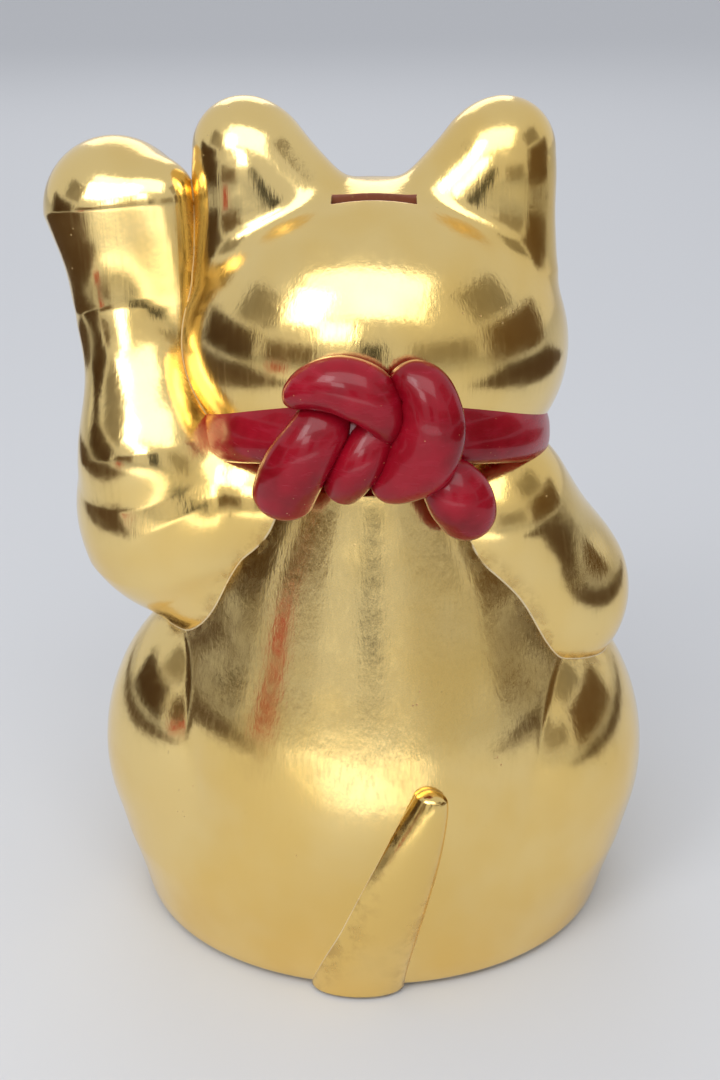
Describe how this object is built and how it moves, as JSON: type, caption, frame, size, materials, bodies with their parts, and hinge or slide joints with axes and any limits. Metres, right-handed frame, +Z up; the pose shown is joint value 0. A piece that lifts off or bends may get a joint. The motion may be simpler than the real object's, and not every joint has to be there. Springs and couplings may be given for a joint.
{
  "type": "beckoning cat coin bank",
  "caption": "Seated ceramic cat coin bank with a raised paw, knotted collar, coin slot in the crown and a rubber stopper in the base.",
  "frame": {"origin": "centre of the foot, on the plane it stands on", "axes": "+Z up; the face looks along -Y and the tail is at +Y; the raised arm, the cat's left, is at +X"},
  "size_m": [0.2342, 0.1997, 0.3287],
  "materials": {
    "gilded_ceramic": "metallised gold over fired slip, polished",
    "crimson_lacquer": "crimson lacquer over fired slip, glossy",
    "bright_gilding": "bright gilding over fired slip",
    "bare_ceramic": "unglazed, matt",
    "stopper_rubber": "moulded rubber, matt",
    "base_felt": "pressed felt"
  },
  "bodies": {
    "figure": {"body_casting": "gilded_ceramic", "head_casting": "gilded_ceramic", "raised_arm": "gilded_ceramic", "lowered_arm": "gilded_ceramic", "tail": "gilded_ceramic", "collar_band": "crimson_lacquer", "knot_right_lobe": "crimson_lacquer", "knot_left_lobe": "crimson_lacquer", "knot_middle": "crimson_lacquer", "knot_left_end": "crimson_lacquer", "knot_right_end": "crimson_lacquer", "bell": "bright_gilding", "plaque": "bright_gilding", "base_plate": "bare_ceramic", "felt_ring": "base_felt"},
    "bung": {"stopper": "stopper_rubber"}
  },
  "joints": [
    {"name": "stopper_pull", "type": "slide", "parent": "figure", "child": "bung", "axis": [0, 0, -1], "range_m": [0, 0.03]}
  ]
}
